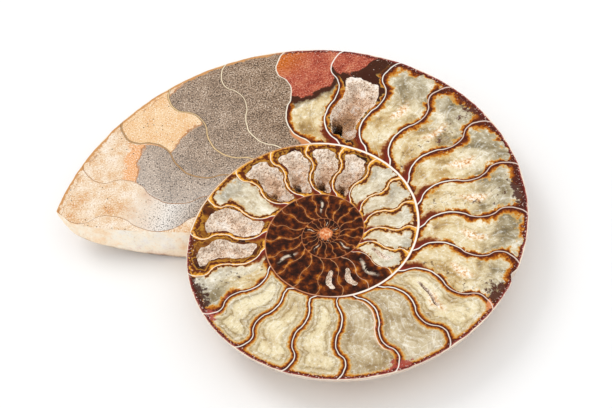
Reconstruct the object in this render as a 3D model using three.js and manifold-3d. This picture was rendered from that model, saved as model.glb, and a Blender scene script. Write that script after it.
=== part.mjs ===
// One half of an ammonite, cut through the plane of its coil and polished.
// The polished face is level and looks up (+Z); the rounded flank of the shell is underneath.
// Millimetres and degrees. Angles run inwards along the coil from the tip of the broken end.

import * as THREE from 'three';
import { ParametricGeometry } from 'three/addons/geometries/ParametricGeometry.js';
import { mergeVertices } from 'three/addons/utils/BufferGeometryUtils.js';
import Module from 'manifold-3d';

// Coil: the outer edge (venter) shrinks by a rate that itself grows slowly inwards
const TIP_RADIUS = 70.2;
const TIP_DIRECTION = 163.3;
const SHRINK = 0.1081;
const SHRINK_GAIN = 0.0013;
const TURN = 360;

// Flank: half thickness at the thickest place, and the shape of the whorl's side
const HALF_THICKNESS = 12.2;
const EQUAL_THICKNESS_RADIUS = 44;
const UMBILICUS_SHARE = 0.25;
const SHOULDER_SHARE = 0.2;
const FLANK_ROUNDNESS = 0.45;
const RIM_EDGE = 1;
const UMBILICUS_FLOOR = 3.2;
const WHORL_COUNT = 4;

// Broken end: from the inner whorl out to the tip, as radius and angle past the tip
const BREAK_CORNERS = [[34.2, -5.3], [44.7, -5], [55, -4.4], [64.2, -3.2], [68.8, -0.9]];
const BREAK_RAMP = 24;

// Chip in the rim
const CHIP_ANGLE = 188.8;
const CHIP_HALF_WIDTH = 2.9;
const CHIP_DEPTH = 1.2;

// Chamber walls (septa): the gap between them widens inwards up to a limit
const FIRST_SEPTUM = 12;
const FIRST_GAP = 14;
const GAP_GROWTH = 0.33;
const GAP_LIMIT = 19.65;

// A chamber wall's lead in degrees, from the inner whorl (0) out to the venter (1)
const SEPTUM_LEAD = [
  [0, 2], [0.1, -2.3], [0.25, -4.8], [0.42, -2.6], [0.6, 0], [0.8, -2.8], [0.92, -1.6], [1, 0.5],
];

// Hollow chambers: share of the chamber across and outwards, depth, and how much shallower the outer end is
const HOLLOWS = [
  { chamber: 6, across: [0.12, 0.9], outwards: [0.09, 0.76], depth: 5.5, slant: 0.6 },
  { chamber: 20, across: [0.16, 0.86], outwards: [0.2, 0.84], depth: 2, slant: 0.2 },
  { chamber: 21, across: [0.16, 0.86], outwards: [0.14, 0.78], depth: 2.2, slant: 0.2 },
  { chamber: 23, across: [0.16, 0.86], outwards: [0.12, 0.86], depth: 4.5, slant: 0.5 },
  { chamber: 24, across: [0.16, 0.86], outwards: [0.12, 0.87], depth: 4.5, slant: 0.5 },
  { chamber: 25, across: [0.16, 0.86], outwards: [0.12, 0.88], depth: 4.5, slant: 0.5 },
  { chamber: 26, across: [0.16, 0.86], outwards: [0.12, 0.86], depth: 4, slant: 0.5 },
  { chamber: 33, across: [0.22, 0.8], outwards: [0.25, 0.8], depth: 1.2, slant: 0.2 },
  { chamber: 34, across: [0.22, 0.8], outwards: [0.25, 0.8], depth: 1.2, slant: 0.2 },
];
const HOLLOW_TAPER = 0.78;
const LUMP_HEIGHT = 0.16;
const LUMP_TURNS_ACROSS = 1.75;
const LUMP_TURNS_OUTWARDS = 2.7;
const CUT_CLEARANCE = 1;

// Facets
const RIM_STEP = 3;
const BREAK_STEPS = 10;
const RAMP_STEP = 1;
const RIM_ROWS = [1, 0.985, 0.95, 0.9];
const FLANK_ROWS = [
  0.83, 0.74, 0.64, 0.54, 0.46, 0.4, 0.36, 0.32, 0.28, 0.24, 0.2, 0.16, 0.12, 0.08, 0.04, 0,
];
const HOLLOW_STEPS_ACROSS = 5;
const HOLLOW_STEPS_OUTWARDS = 9;

const wasm = await Module();
wasm.setup();

const { smoothstep, lerp, degToRad } = THREE.MathUtils;
const TAU = 2 * Math.PI;
const MERGE_DISTANCE = 1e-3;

function venterRadius(angle) {
  const turned = degToRad(angle);
  return TIP_RADIUS * Math.exp(-SHRINK * turned - SHRINK_GAIN * turned * turned);
}

function onFace(radius, angle) {
  const direction = degToRad(TIP_DIRECTION - angle);
  return new THREE.Vector2(radius * Math.cos(direction), radius * Math.sin(direction));
}

// Depth of one whorl's flank below the polished face
function whorlDepth(radius, angle) {
  const venter = venterRadius(angle);
  const out = (radius / venter - UMBILICUS_SHARE) / (1 - UMBILICUS_SHARE);
  if (out >= 1) return RIM_EDGE;
  const thickness = HALF_THICKNESS * Math.min(1, venter / EQUAL_THICKNESS_RADIUS);
  const round = (1 - Math.max(out, 0) ** 2) ** FLANK_ROUNDNESS;
  return RIM_EDGE + (thickness - RIM_EDGE) * round * smoothstep(out, 0, SHOULDER_SHARE);
}

// Each whorl covers the sides of the ones inside it, so the deepest one shows
function coilDepth(radius, angle) {
  const floor = radius < venterRadius(angle + TURN) ? UMBILICUS_FLOOR : 0;
  const whorls = Array.from({ length: WHORL_COUNT }, (_, i) => whorlDepth(radius, angle + i * TURN));
  return Math.max(floor, ...whorls);
}

// Past the broken end, what is left of the outer whorl slopes down onto the inner one
function rampShare(angle) {
  return smoothstep(angle, breakEnd - BREAK_RAMP, breakEnd);
}

function flankDepth(radius, angle) {
  return lerp(coilDepth(radius, angle), coilDepth(radius, angle - TURN), rampShare(angle));
}

// Points around the rim: along the break from the inner whorl to the tip, then around the last whorl
const breakEnd = TURN + BREAK_CORNERS[0][1];

function rimPoints() {
  const corners = BREAK_CORNERS.map(([radius, angle]) => new THREE.Vector2(radius, angle));
  const edge = new THREE.SplineCurve([...corners, new THREE.Vector2(TIP_RADIUS, 0)]);
  const points = edge.getPoints(BREAK_STEPS).map((p) => ({ radius: p.x, angle: p.y }));
  const rampStart = breakEnd - BREAK_RAMP;
  for (let angle = RIM_STEP; angle < breakEnd; angle += angle < rampStart ? RIM_STEP : RAMP_STEP) {
    const chip = Math.max(0, 1 - Math.abs(angle - CHIP_ANGLE) / CHIP_HALF_WIDTH);
    points.push({ radius: venterRadius(angle) - CHIP_DEPTH * chip, angle });
  }
  return [...points, points[0]];
}

// Radii of the facets' corners below the rim: they follow the coil, and drift out to meet the break
function flankRadii(rimRadius, angle) {
  const whorl = lerp(venterRadius(angle), venterRadius(angle - TURN), rampShare(angle));
  const edge = RIM_ROWS.map((share) => share * rimRadius);
  const flank = FLANK_ROWS.map((share) => Math.min(edge.at(-1), share * whorl));
  return [...edge, ...flank];
}

// The solid's skin runs from the middle of the face to the rim, down its edge and under to the middle
function coilSolid() {
  const rim = rimPoints();
  const rowCount = 2 + flankRadii(TIP_RADIUS, 0).length;
  const skin = (down, back, target) => {
    const { radius, angle } = rim[Math.round((1 - back) * (rim.length - 1))];
    const row = Math.round(down * (rowCount - 1));
    const onTop = row < 2;
    const reach = onTop ? row * radius : flankRadii(radius, angle)[row - 2];
    const place = onFace(reach, angle);
    target.set(place.x, place.y, onTop ? 0 : -flankDepth(reach, angle));
  };
  return toSolid(new ParametricGeometry(skin, rowCount - 1, rim.length - 1));
}

const leadCurve = new THREE.SplineCurve(SEPTUM_LEAD.map(([out, lead]) => new THREE.Vector2(out, lead)));

function septumAngle(number) {
  let angle = FIRST_SEPTUM;
  for (let i = 1; i < number; i += 1) {
    angle += Math.min(FIRST_GAP + GAP_GROWTH * (i - 1), GAP_LIMIT);
  }
  return angle;
}

function septumLead(out) {
  const next = Math.max(1, SEPTUM_LEAD.findIndex(([share]) => share >= out));
  const [from, to] = [SEPTUM_LEAD[next - 1][0], SEPTUM_LEAD[next][0]];
  return leadCurve.getPoint((next - 1 + (out - from) / (to - from)) / (SEPTUM_LEAD.length - 1)).y;
}

function inChamber(chamber, across, out) {
  const angle = lerp(septumAngle(chamber), septumAngle(chamber + 1), across) + septumLead(out);
  return onFace(lerp(venterRadius(angle + TURN), venterRadius(angle), out), angle);
}

// A hollow chamber's room: narrower below, deeper at its inner end, with a lumpy crystal floor
function hollowSolid({ chamber, across, outwards, depth, slant }) {
  const room = new THREE.BoxGeometry(1, 1, 1, HOLLOW_STEPS_ACROSS, HOLLOW_STEPS_OUTWARDS, 1);
  const corner = room.attributes.position;
  for (let i = 0; i < corner.count; i += 1) {
    const below = corner.getZ(i) < 0;
    const taper = below ? HOLLOW_TAPER : 1;
    const [x, y] = [0.5 + corner.getX(i) * taper, 0.5 + corner.getY(i) * taper];
    const place = inChamber(chamber, lerp(...across, x), lerp(...outwards, y));
    const wave = Math.sin(TAU * LUMP_TURNS_ACROSS * x + chamber) * Math.cos(TAU * LUMP_TURNS_OUTWARDS * y);
    const fall = depth * (1 + LUMP_HEIGHT * wave) * (1 - slant * y);
    corner.setXYZ(i, place.x, place.y, below ? -fall : CUT_CLEARANCE);
  }
  return toSolid(room);
}

// A closed mesh as a solid, with shared points merged and triangles of no area left out
function toSolid(geometry) {
  geometry.deleteAttribute('normal');
  geometry.deleteAttribute('uv');
  const merged = mergeVertices(geometry, MERGE_DISTANCE);
  const index = merged.index.array;
  const triangles = [];
  for (let i = 0; i < index.length; i += 3) {
    const [a, b, c] = index.slice(i, i + 3);
    if (a !== b && b !== c && c !== a) triangles.push(a, b, c);
  }
  return new wasm.Manifold(new wasm.Mesh({
    numProp: 3,
    vertProperties: new Float32Array(merged.attributes.position.array),
    triVerts: new Uint32Array(triangles),
  }));
}

function toGeometry(solid) {
  const { vertProperties, triVerts } = solid.getMesh();
  const geometry = new THREE.BufferGeometry();
  geometry.setAttribute('position', new THREE.BufferAttribute(vertProperties, 3));
  geometry.setIndex(new THREE.BufferAttribute(triVerts, 1));
  return geometry;
}

// The half, standing on its flank with its base centred on the origin
const fossil = HOLLOWS.reduce((solid, hollow) => solid.subtract(hollowSolid(hollow)), coilSolid());
const geometry = toGeometry(fossil);
geometry.computeBoundingBox();
const box = geometry.boundingBox;
const middle = box.getCenter(new THREE.Vector3());
geometry.translate(-middle.x, -middle.y, -box.min.z);
geometry.computeVertexNormals();

const stone = new THREE.MeshStandardMaterial({ color: 0xcdb893, roughness: 0.35, metalness: 0 });
const ammoniteHalf = new THREE.Mesh(geometry, stone);
ammoniteHalf.name = 'ammonite_half';

const specimen = new THREE.Group();
specimen.add(ammoniteHalf);

export default specimen;
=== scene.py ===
import math
from functools import partial
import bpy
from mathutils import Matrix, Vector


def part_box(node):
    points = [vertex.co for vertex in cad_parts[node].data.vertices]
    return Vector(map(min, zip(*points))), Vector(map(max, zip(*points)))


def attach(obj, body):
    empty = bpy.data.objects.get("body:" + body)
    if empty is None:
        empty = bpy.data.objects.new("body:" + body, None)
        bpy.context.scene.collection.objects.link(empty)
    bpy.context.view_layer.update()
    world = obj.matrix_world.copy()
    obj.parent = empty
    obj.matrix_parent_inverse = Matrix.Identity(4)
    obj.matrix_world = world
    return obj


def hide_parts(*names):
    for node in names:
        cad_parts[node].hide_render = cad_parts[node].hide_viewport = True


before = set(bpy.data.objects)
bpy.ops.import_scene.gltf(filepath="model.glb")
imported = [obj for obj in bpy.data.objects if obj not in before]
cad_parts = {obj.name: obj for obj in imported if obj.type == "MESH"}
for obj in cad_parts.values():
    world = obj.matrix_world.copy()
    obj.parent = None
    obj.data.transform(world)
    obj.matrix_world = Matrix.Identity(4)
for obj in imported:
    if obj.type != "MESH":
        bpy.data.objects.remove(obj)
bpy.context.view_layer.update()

from types import SimpleNamespace

import bpy
import numpy as np
from mathutils import Matrix, Vector

# The polished half of an ammonite. Sizes are millimetres and degrees unless a name says otherwise.
# Angles run inwards along the coil from the tip of the broken end.
MM = 0.001
TURN = 360
scene = bpy.context.scene

# Coil: the outer edge of the whorl (venter) shrinks by a rate that grows slowly inwards
TIP_RADIUS = 70.2
TIP_DIRECTION = 163.3
SHRINK = 0.1081
SHRINK_GAIN = 0.0013

# Flank, under the polished face
HALF_THICKNESS = 12.2
EQUAL_THICKNESS_RADIUS = 44
UMBILICUS_SHARE = 0.25
SHOULDER_SHARE = 0.2
FLANK_ROUNDNESS = 0.55
RIM_EDGE = 0.4
UMBILICUS_FLOOR = 3.2

# Broken end and a chip in the rim
BREAK_ANGLE = -5.3
BREAK_END = TURN + BREAK_ANGLE
BREAK_RAMP = 24
BREAK_RADIUS_SHARES = [(0, 0), (0.2, 0.29), (0.4, 0.58), (0.6, 0.833), (0.8, 0.96), (1, 1)]
BREAK_ANGLE_SHARES = [(0, 0), (0.2, 0.06), (0.4, 0.17), (0.6, 0.4), (0.8, 0.83), (1, 1)]
CHIP_ANGLE = 188.8
CHIP_HALF_WIDTH = 2.9
CHIP_DEPTH = 1.2

# Chamber walls (septa): the gap between them widens inwards up to a limit
FIRST_SEPTUM = 12
FIRST_GAP = 14
GAP_GROWTH = 0.33
GAP_LIMIT = 19.65
GROWING_GAPS = 18
SHORT_FIRST_CHAMBER = 0.12
SHORT_UNTIL = (0.1, 0.5)

# A chamber wall's lead in degrees, from the inner whorl (0) out to the venter (1)
SEPTUM_LEAD = [
    (0, 3.5), (0.05, 1.2), (0.1, -2.3), (0.17, -4.2), (0.25, -4.8), (0.33, -4.1), (0.42, -2.6),
    (0.5, -0.7), (0.6, 0), (0.68, -0.6), (0.8, -2.8), (0.9, -1.9), (1, 0.5),
]
LEAD_LOW, LEAD_HIGH = -6, 4
RIM_STEP = 0.5


def venter_radius(angle):
    turned = np.radians(angle)
    return TIP_RADIUS * np.exp(-SHRINK * turned - SHRINK_GAIN * turned**2)


def septum_angle(number):
    gaps = [min(FIRST_GAP + GAP_GROWTH * i, GAP_LIMIT) for i in range(number - 1)]
    return FIRST_SEPTUM + sum(gaps)


def coil_centre():
    """The coil's middle on the polished face, in metres, from the CAD box and the reach of the rim."""
    angle = np.arange(0, BREAK_END, RIM_STEP)
    direction = np.radians(TIP_DIRECTION - angle)
    reach = venter_radius(angle) * MM
    _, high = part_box("ammonite_half")
    across, along = max(reach * np.cos(direction)), max(reach * np.sin(direction))
    return Vector((high.x - across, high.y - along, high.z))


COIL = coil_centre()
INNER_CORNER = float(venter_radius(BREAK_END))


# Nodes

def linear(hex_colour):
    """An sRGB hex colour as linear RGBA."""
    parts = [int(hex_colour[i:i + 2], 16) / 255 for i in (1, 3, 5)]
    return (*[c / 12.92 if c <= 0.04045 else ((c + 0.055) / 1.055) ** 2.4 for c in parts], 1)


def fill_curve(mapping, points, handle="AUTO"):
    mapping.use_clip = False
    curve = mapping.curves[0]
    for x, y in points[1:-1]:
        curve.points.new(x, y)
    curve.points[0].location, curve.points[-1].location = points[0], points[-1]
    for point in curve.points:
        point.handle_type = handle
    mapping.update()


def fill_ramp(ramp, stops):
    for place, _ in stops[1:-1]:
        ramp.elements.new(place)
    for element, (place, colour) in zip(ramp.elements, stops):
        element.position = place
        element.color = linear(colour)


FILLERS = {
    "points": ("mapping", fill_curve),
    "corners": ("mapping", partial(fill_curve, handle="VECTOR")),
    "stops": ("color_ramp", fill_ramp),
}
MODES = {
    "ShaderNodeMix": "data_type",
    "ShaderNodeMapRange": "interpolation_type",
    "ShaderNodeTexVoronoi": "feature",
    "ShaderNodeTexWhiteNoise": "noise_dimensions",
}


def feed(made, named, values=()):
    """Gives a node's inputs, by name or in order, their values, hex colours, sockets or nodes."""
    sockets = [socket for socket in made.inputs if socket.enabled]
    pairs = [*zip(sockets, values), *[(made.inputs[name], value) for name, value in named.items()]]
    for socket, value in pairs:
        if isinstance(value, bpy.types.Node):
            value = next(output for output in value.outputs if output.enabled)
        if isinstance(value, str):
            value = linear(value)
        if isinstance(value, bpy.types.NodeSocket):
            made.id_data.links.new(value, socket)
        elif value is not None:
            socket.default_value = value


def node(tree, kind, *values, named=None, **settings):
    """Adds one node with its inputs, in order or by name. Its settings are properties, a curve's points or
    corners, or a ramp's stops. A kind may end in /MODE, and one in capitals is a Math node's operation."""
    kind, _, mode = kind.partition("/")
    if kind.isupper():
        kind, mode = "ShaderNodeMath", kind
    made = tree.nodes.new(kind)
    if mode:
        setattr(made, MODES.get(kind, "operation"), mode)
    for name, value in settings.items():
        if name in FILLERS:
            holder, fill = FILLERS[name]
            fill(getattr(made, holder), value)
        else:
            setattr(made, name, value)
    feed(made, named or {}, values)
    return made


# Kinds of nodes. The inputs of a noise are its place, scale, detail and roughness. Those of a range are a
# value, where it starts and ends, and what it becomes there: 0 and 1 where nothing is said.
VECTOR = "ShaderNodeVectorMath/"
RANGE = "ShaderNodeMapRange"
SMOOTH_RANGE = "ShaderNodeMapRange/SMOOTHSTEP"
CURVE = "ShaderNodeFloatCurve"
MIX = "ShaderNodeMix"
BLEND = "ShaderNodeMix/RGBA"
NOISE = "ShaderNodeTexNoise"
CELLS = "ShaderNodeTexVoronoi/"
CHANCE = "ShaderNodeTexWhiteNoise/1D"
RAMP = "ShaderNodeValToRGB"
JOIN = "ShaderNodeCombineXYZ"
SPLIT = "ShaderNodeSeparateXYZ"

FLAT = (1, 1, 0)
NOISE_MIDDLE = (0.5, 0.5, 0.5)
NOISE_SPAN = (0.3, 0.7)
CHAMBER_EDGE = 0.01


def about(middle, half):
    return middle - half, middle + half


# In what follows, add is node() for one tree

def inside(add, value, low, high, soft=CHAMBER_EDGE):
    """A mask that is 1 between two values and fades at both."""
    rise = add(RANGE, value, *about(low, soft))
    return add("MULTIPLY", rise, add(RANGE, value, *about(high, soft), 1, 0))


def within(add, value, low, high):
    """A mask that is 1 between two values, with sharp ends."""
    return add("COMPARE", value, (low + high) / 2, (high - low) / 2)


def spread(add, noise, reach):
    """A noise as a shift to both sides."""
    return add(RANGE, noise, *NOISE_SPAN, -reach, reach)


def tinted(add, below, value, *tints):
    """Colours laid over what is below, each up to its strength as a value runs from start to full."""
    for start, full, strength, colour in tints:
        below = add(BLEND, add(RANGE, value, start, full, 0, strength), below, colour)
    return below


def material(name):
    """A new material, what adds a node to it, and its shader."""
    made = bpy.data.materials.new(name)
    made.use_nodes = True
    return made, partial(node, made.node_tree), made.node_tree.nodes["Principled BSDF"]


def geometry_tree(name, **inputs):
    """A Geometry Nodes tree with named inputs of each kind, what adds a node to it, and its inputs."""
    tree = bpy.data.node_groups.new(name, "GeometryNodeTree")
    for way in ("INPUT", "OUTPUT"):
        tree.interface.new_socket("Geometry", in_out=way, socket_type="NodeSocketGeometry")
    for kind, names in inputs.items():
        for size in names:
            tree.interface.new_socket(size, in_out="INPUT", socket_type="NodeSocket" + kind)
    add = partial(node, tree)
    return tree, add, add("NodeGroupInput").outputs


def put(name, data):
    """A new object in the scene."""
    made = bpy.data.objects.new(name, data)
    scene.collection.objects.link(made)
    return made


def bake(piece):
    """Gives a piece the mesh that its modifiers make, and leaves no modifier and no empty material slot."""
    bpy.context.view_layer.update()
    depsgraph = bpy.context.evaluated_depsgraph_get()
    mesh = bpy.data.meshes.new_from_object(piece.evaluated_get(depsgraph))
    piece.modifiers.clear()
    piece.data = mesh
    while None in mesh.materials[:]:
        mesh.materials.pop(index=mesh.materials[:].index(None))


def grow(name, tree, sizes, start=None):
    """A plain mesh object that a tree makes. The tree's inputs are set by their identifiers."""
    piece = put(name, start or bpy.data.meshes.new(name))
    grower = piece.modifiers.new(tree.name, "NODES")
    grower.node_group = tree
    for item in tree.interface.items_tree:
        if item.in_out == "INPUT" and item.name in sizes:
            grower[item.identifier] = sizes[item.name]
    bake(piece)
    piece.data.name = name
    return piece


# Where a point lies in the coil

def lead_field(add, out):
    """A chamber wall's lead in degrees, by its share of the way out across the whorl."""
    shares = [(share, (lead - LEAD_LOW) / (LEAD_HIGH - LEAD_LOW)) for share, lead in SEPTUM_LEAD]
    curve = add(CURVE, 1, out, points=shares)
    return add(RANGE, curve, 0, 1, LEAD_LOW, LEAD_HIGH, clamp=False)


def venter_field(add, angle, tip_radius):
    turned = add("RADIANS", angle)
    rate = add("MULTIPLY_ADD", turned, SHRINK_GAIN, SHRINK)
    fall = add("MULTIPLY", add("MULTIPLY", turned, rate), -1)
    return add("MULTIPLY", add("EXPONENT", fall), tip_radius)


def phase_field(add, angle):
    """The chamber's number at an angle on the coil's middle line, with the share across as its fraction."""
    half_gap = FIRST_GAP - GAP_GROWTH / 2
    past = add("SUBTRACT", angle, FIRST_SEPTUM)
    square = add("MULTIPLY_ADD", past, 2 * GAP_GROWTH, half_gap**2)
    root = add("SQRT", square)
    growing = add(RANGE, root, half_gap, half_gap + GAP_GROWTH, 1, 2, clamp=False)
    last = septum_angle(GROWING_GAPS + 1)
    steady = add(RANGE, angle, last, last + GAP_LIMIT, GROWING_GAPS + 1, GROWING_GAPS + 2, clamp=False)
    phase = add(MIX, add("GREATER_THAN", angle, last), growing, steady)
    return add("ADD", phase, add(RANGE, phase, *SHORT_UNTIL, -SHORT_FIRST_CHAMBER, 0))


# Where the chambers' filling changes, by chamber number
SANDSTONE_END = 5
BANDED_CHAMBERS = (13, 19)
CLEARER_CHAMBERS = (14, 16)
HOLLOW_CHAMBERS = [(6, 7), (20, 22), (23, 27)]
GOLD_RIMS_START = 19.5
GOLD_RIMS_FADE = 0.1
CALCITE_END = 32
LAST_CHAMBER = 50

WOBBLE = 0.016
WOBBLE_LENGTH = 5
LEAD_STEP = 0.02
WALL_ROUNDING = 1.5
CORNER_SPREAD = 0.55
SMALLEST_REACH = 0.3
FIRST_GAP_MIDDLE = 1.5
BREAK_FADE = 1

# A few chamber walls turn their feet the other way: from and to an angle, and by so many degrees
TURNED_FEET = (250, 303)
TURNED_FADE = 4
TURNED_LEAD = -12
TURNED_SHARE = 0.14


def turned_lead_field(add, out, angle):
    """The lead of the chamber walls at an angle, with the feet of a few turned the other way."""
    low = add(RANGE, out, 0, TURNED_SHARE, 1, 0)
    here = inside(add, angle, *TURNED_FEET, TURNED_FADE)
    turned = add("MULTIPLY", add("MULTIPLY", low, low), here)
    return add("MULTIPLY_ADD", turned, TURNED_LEAD, lead_field(add, out))


def coil_millimetres(add):
    """A point from the coil's middle, from Object coordinates: every piece's object lies at the origin."""
    spot = add("ShaderNodeTexCoord").outputs["Object"]
    from_coil = add(VECTOR + "SUBTRACT", spot, tuple(COIL))
    return add(VECTOR + "SCALE", from_coil, 1 / MM)


def whorl_place(add):
    """A point's place in the coil, in its chamber and from the walls, and a chance for each chamber."""
    place = coil_millimetres(add)
    flat = add(VECTOR + "MULTIPLY", place, FLAT)
    noise = add(NOISE, place, 1 / WOBBLE_LENGTH, 3)
    drift = add(VECTOR + "SUBTRACT", noise.outputs["Color"], NOISE_MIDDLE)
    reach_of_drift = add("MULTIPLY", add(VECTOR + "LENGTH", flat), WOBBLE)
    moved = add(VECTOR + "ADD", flat, add(VECTOR + "SCALE", drift, reach_of_drift))
    axes = add(SPLIT, moved).outputs
    flat_reach = add(VECTOR + "LENGTH", add(VECTOR + "MULTIPLY", moved, FLAT))
    reach = add("MAXIMUM", flat_reach, SMALLEST_REACH)

    direction = add("ARCTAN2", axes["Y"], axes["X"])
    from_tip = add("SUBTRACT", math.radians(TIP_DIRECTION), direction)
    from_tip = add("FLOORED_MODULO", from_tip, math.tau)
    shrunk = add("LOGARITHM", add("DIVIDE", TIP_RADIUS, reach), math.e)
    square = add("MULTIPLY_ADD", shrunk, 4 * SHRINK_GAIN, SHRINK**2)
    root = add("SQRT", square)
    on_spiral = add(RANGE, root, SHRINK, SHRINK + 2 * SHRINK_GAIN, 0, 1, clamp=False)
    turns = add("DIVIDE", add("SUBTRACT", on_spiral, from_tip), math.tau)
    whorl = add("FLOOR", turns)
    angle = add("DEGREES", add("MULTIPLY_ADD", whorl, math.tau, from_tip))

    venter = venter_field(add, angle, TIP_RADIUS)
    inner = venter_field(add, add("ADD", angle, TURN), TIP_RADIUS)
    height = add("SUBTRACT", venter, inner)
    out = add(RANGE, reach, inner, venter)
    lead = turned_lead_field(add, out, angle)
    phase = phase_field(add, add("SUBTRACT", angle, lead))

    next_lead = turned_lead_field(add, add("ADD", out, LEAD_STEP), angle)
    turn_rate = add("DIVIDE", add("SUBTRACT", next_lead, lead), LEAD_STEP)
    arc = add("MULTIPLY", add("RADIANS", turn_rate), reach)
    slope = add("DIVIDE", arc, height)
    lean = add("SQRT", add("MULTIPLY_ADD", slope, slope, 1))
    gap = add(RANGE, phase, FIRST_GAP_MIDDLE, FIRST_GAP_MIDDLE + GROWING_GAPS, FIRST_GAP, GAP_LIMIT)
    pitch = add("MULTIPLY", add("RADIANS", gap), reach)
    to_line = add("PINGPONG", phase, 0.5)
    to_septum = add("DIVIDE", add("MULTIPLY", to_line, pitch), lean)
    to_inner = add("MULTIPLY", out, height)
    to_outer = add("SUBTRACT", venter, reach)
    to_wall = add("SMOOTH_MIN", to_inner, to_outer, WALL_ROUNDING)
    across = add("FRACT", phase)
    behind = add("MULTIPLY_ADD", across, -CORNER_SPREAD, CORNER_SPREAD)
    hollow = 0
    for first, last in HOLLOW_CHAMBERS:
        hollow = add("MAXIMUM", hollow, within(add, phase, first, last))
    return SimpleNamespace(
        place=place, angle=angle, reach=reach, out=out, phase=phase, across=across, hollow=hollow,
        to_septum=to_septum, to_inner=to_inner, to_outer=to_outer,
        to_edge=add("SMOOTH_MIN", to_wall, to_septum, WALL_ROUNDING),
        from_corner=add("ADD", out, behind),
        outermost=add(RANGE, angle, *about(BREAK_END, BREAK_FADE), 1, 0),
        banded=within(add, phase, *BANDED_CHAMBERS),
        gold=add(RANGE, phase, GOLD_RIMS_START, GOLD_RIMS_START + GOLD_RIMS_FADE),
        chance=add(CHANCE, add("FLOOR", phase)),
        fineness=add("SQRT", reach),
    )


# The coil's body, by Geometry Nodes: one grid wrapped from the middle of the face round the rim to below

TOP_ROWS = 6
WALL_ROWS = 12
FLANK_ROWS = 60
COLUMNS = 600
BREAK_COLUMNS = 80
RIM_CROWDING = 1.7
RIM_WAVE = 0.25
RIM_WAVE_LENGTH = 9
BREAK_LUMP_SIZE = 4
BREAK_LUMP_HEIGHT = 0.7
BREAK_EDGE = 0.15
WHORLS = 4
MERGE_DISTANCE_M = 2e-6


def whorl_depth_field(add, reach, angle, sizes):
    """Depth of one whorl's flank below the face: an oval side that drops at the umbilical shoulder."""
    venter = venter_field(add, angle, sizes["Tip radius"])
    share = add("DIVIDE", reach, venter)
    out = add(RANGE, share, UMBILICUS_SHARE, 1)
    hollow = add("MULTIPLY_ADD", add("MULTIPLY", out, out), -1, 1)
    side = add("POWER", hollow, FLANK_ROUNDNESS)
    shoulder = add(SMOOTH_RANGE, out, 0, SHOULDER_SHARE)
    grown = add(RANGE, venter, 0, EQUAL_THICKNESS_RADIUS, 0, sizes["Half thickness"])
    swell = add("SUBTRACT", grown, RIM_EDGE)
    rise = add("MULTIPLY", add("MULTIPLY", side, shoulder), swell)
    return add("ADD", rise, RIM_EDGE)


def flank_depth_field(add, reach, angle, sizes):
    """Each whorl covers the sides of the ones inside it; past the break the outer one slopes away."""
    inner = venter_field(add, add("ADD", angle, TURN), sizes["Tip radius"])
    in_umbilicus = add("LESS_THAN", reach, inner)
    in_covering = add("LESS_THAN", reach, venter_field(add, angle, sizes["Tip radius"]))
    deepest = add("MULTIPLY", in_umbilicus, UMBILICUS_FLOOR)
    for whorl in range(WHORLS):
        turned = add("ADD", angle, whorl * TURN)
        deepest = add("MAXIMUM", deepest, whorl_depth_field(add, reach, turned, sizes))
    thin = add(SMOOTH_RANGE, angle, BREAK_END - BREAK_RAMP, BREAK_END)
    covering = whorl_depth_field(add, reach, add("SUBTRACT", angle, TURN), sizes)
    covering = add("MAXIMUM", covering, add("MULTIPLY", in_covering, UMBILICUS_FLOOR))
    covered = add("MAXIMUM", deepest, covering)
    return add(MIX, thin, deepest, covered)


RIB_GAP = 4.5
RIB_HEIGHT = 0.22
RIB_SWEEP = 22
RIB_BEND = [(0, 0), (0.3, 0.1), (0.5, 0.3), (0.7, 0.28), (0.85, 0.4), (1, 0.85)]
RIB_UNEVENNESS_SIZE = 6
RIB_START, RIB_FULL = 0.2, 0.5
RIM_WITHOUT_RIBS = 0.1


def flank_place(add, place):
    """A point's angle on the outermost whorl, and its share of the way up the flank to the rim."""
    axes = add(SPLIT, place).outputs
    reach = add(VECTOR + "LENGTH", add(VECTOR + "MULTIPLY", place, FLAT))
    direction = add("DEGREES", add("ARCTAN2", axes["Y"], axes["X"]))
    past_break = add("SUBTRACT", TIP_DIRECTION - BREAK_ANGLE, direction)
    angle = add("ADD", add("FLOORED_MODULO", past_break, TURN), BREAK_ANGLE)
    up_flank = add("ADD", reach, axes["Z"])
    venter = venter_field(add, angle, TIP_RADIUS)
    return angle, add(RANGE, up_flank, -HALF_THICKNESS, venter)


def groove_field(add, place, angle, out):
    """The grooves between low growth ribs: 1 in a groove's middle, 0 on the crests and in the umbilicus."""
    uneven = spread(add, add(NOISE, place, 1 / RIB_UNEVENNESS_SIZE, 3), RIB_GAP / 2)
    swept = add("MULTIPLY_ADD", add(CURVE, 1, out, points=RIB_BEND), RIB_SWEEP, angle)
    rib = add("PINGPONG", add("ADD", swept, uneven), RIB_GAP / 2)
    groove = add(SMOOTH_RANGE, rib, 0, RIB_GAP / 2, 1, 0)
    return add("MULTIPLY", groove, add(RANGE, out, RIB_START, RIB_FULL))


def on_face(add, reach, angle):
    """Across and along from the coil's middle, in millimetres."""
    direction = add("RADIANS", add("SUBTRACT", TIP_DIRECTION, angle))
    across = add("MULTIPLY", reach, add("COSINE", direction))
    along = add("MULTIPLY", reach, add("SINE", direction))
    return across, along


def placed(add, across, along, height):
    """Millimetres from the coil's middle as a place in the frame."""
    spot = add(JOIN, across, along, height)
    return add(VECTOR + "MULTIPLY_ADD", spot, (MM, MM, MM), tuple(COIL))


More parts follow.
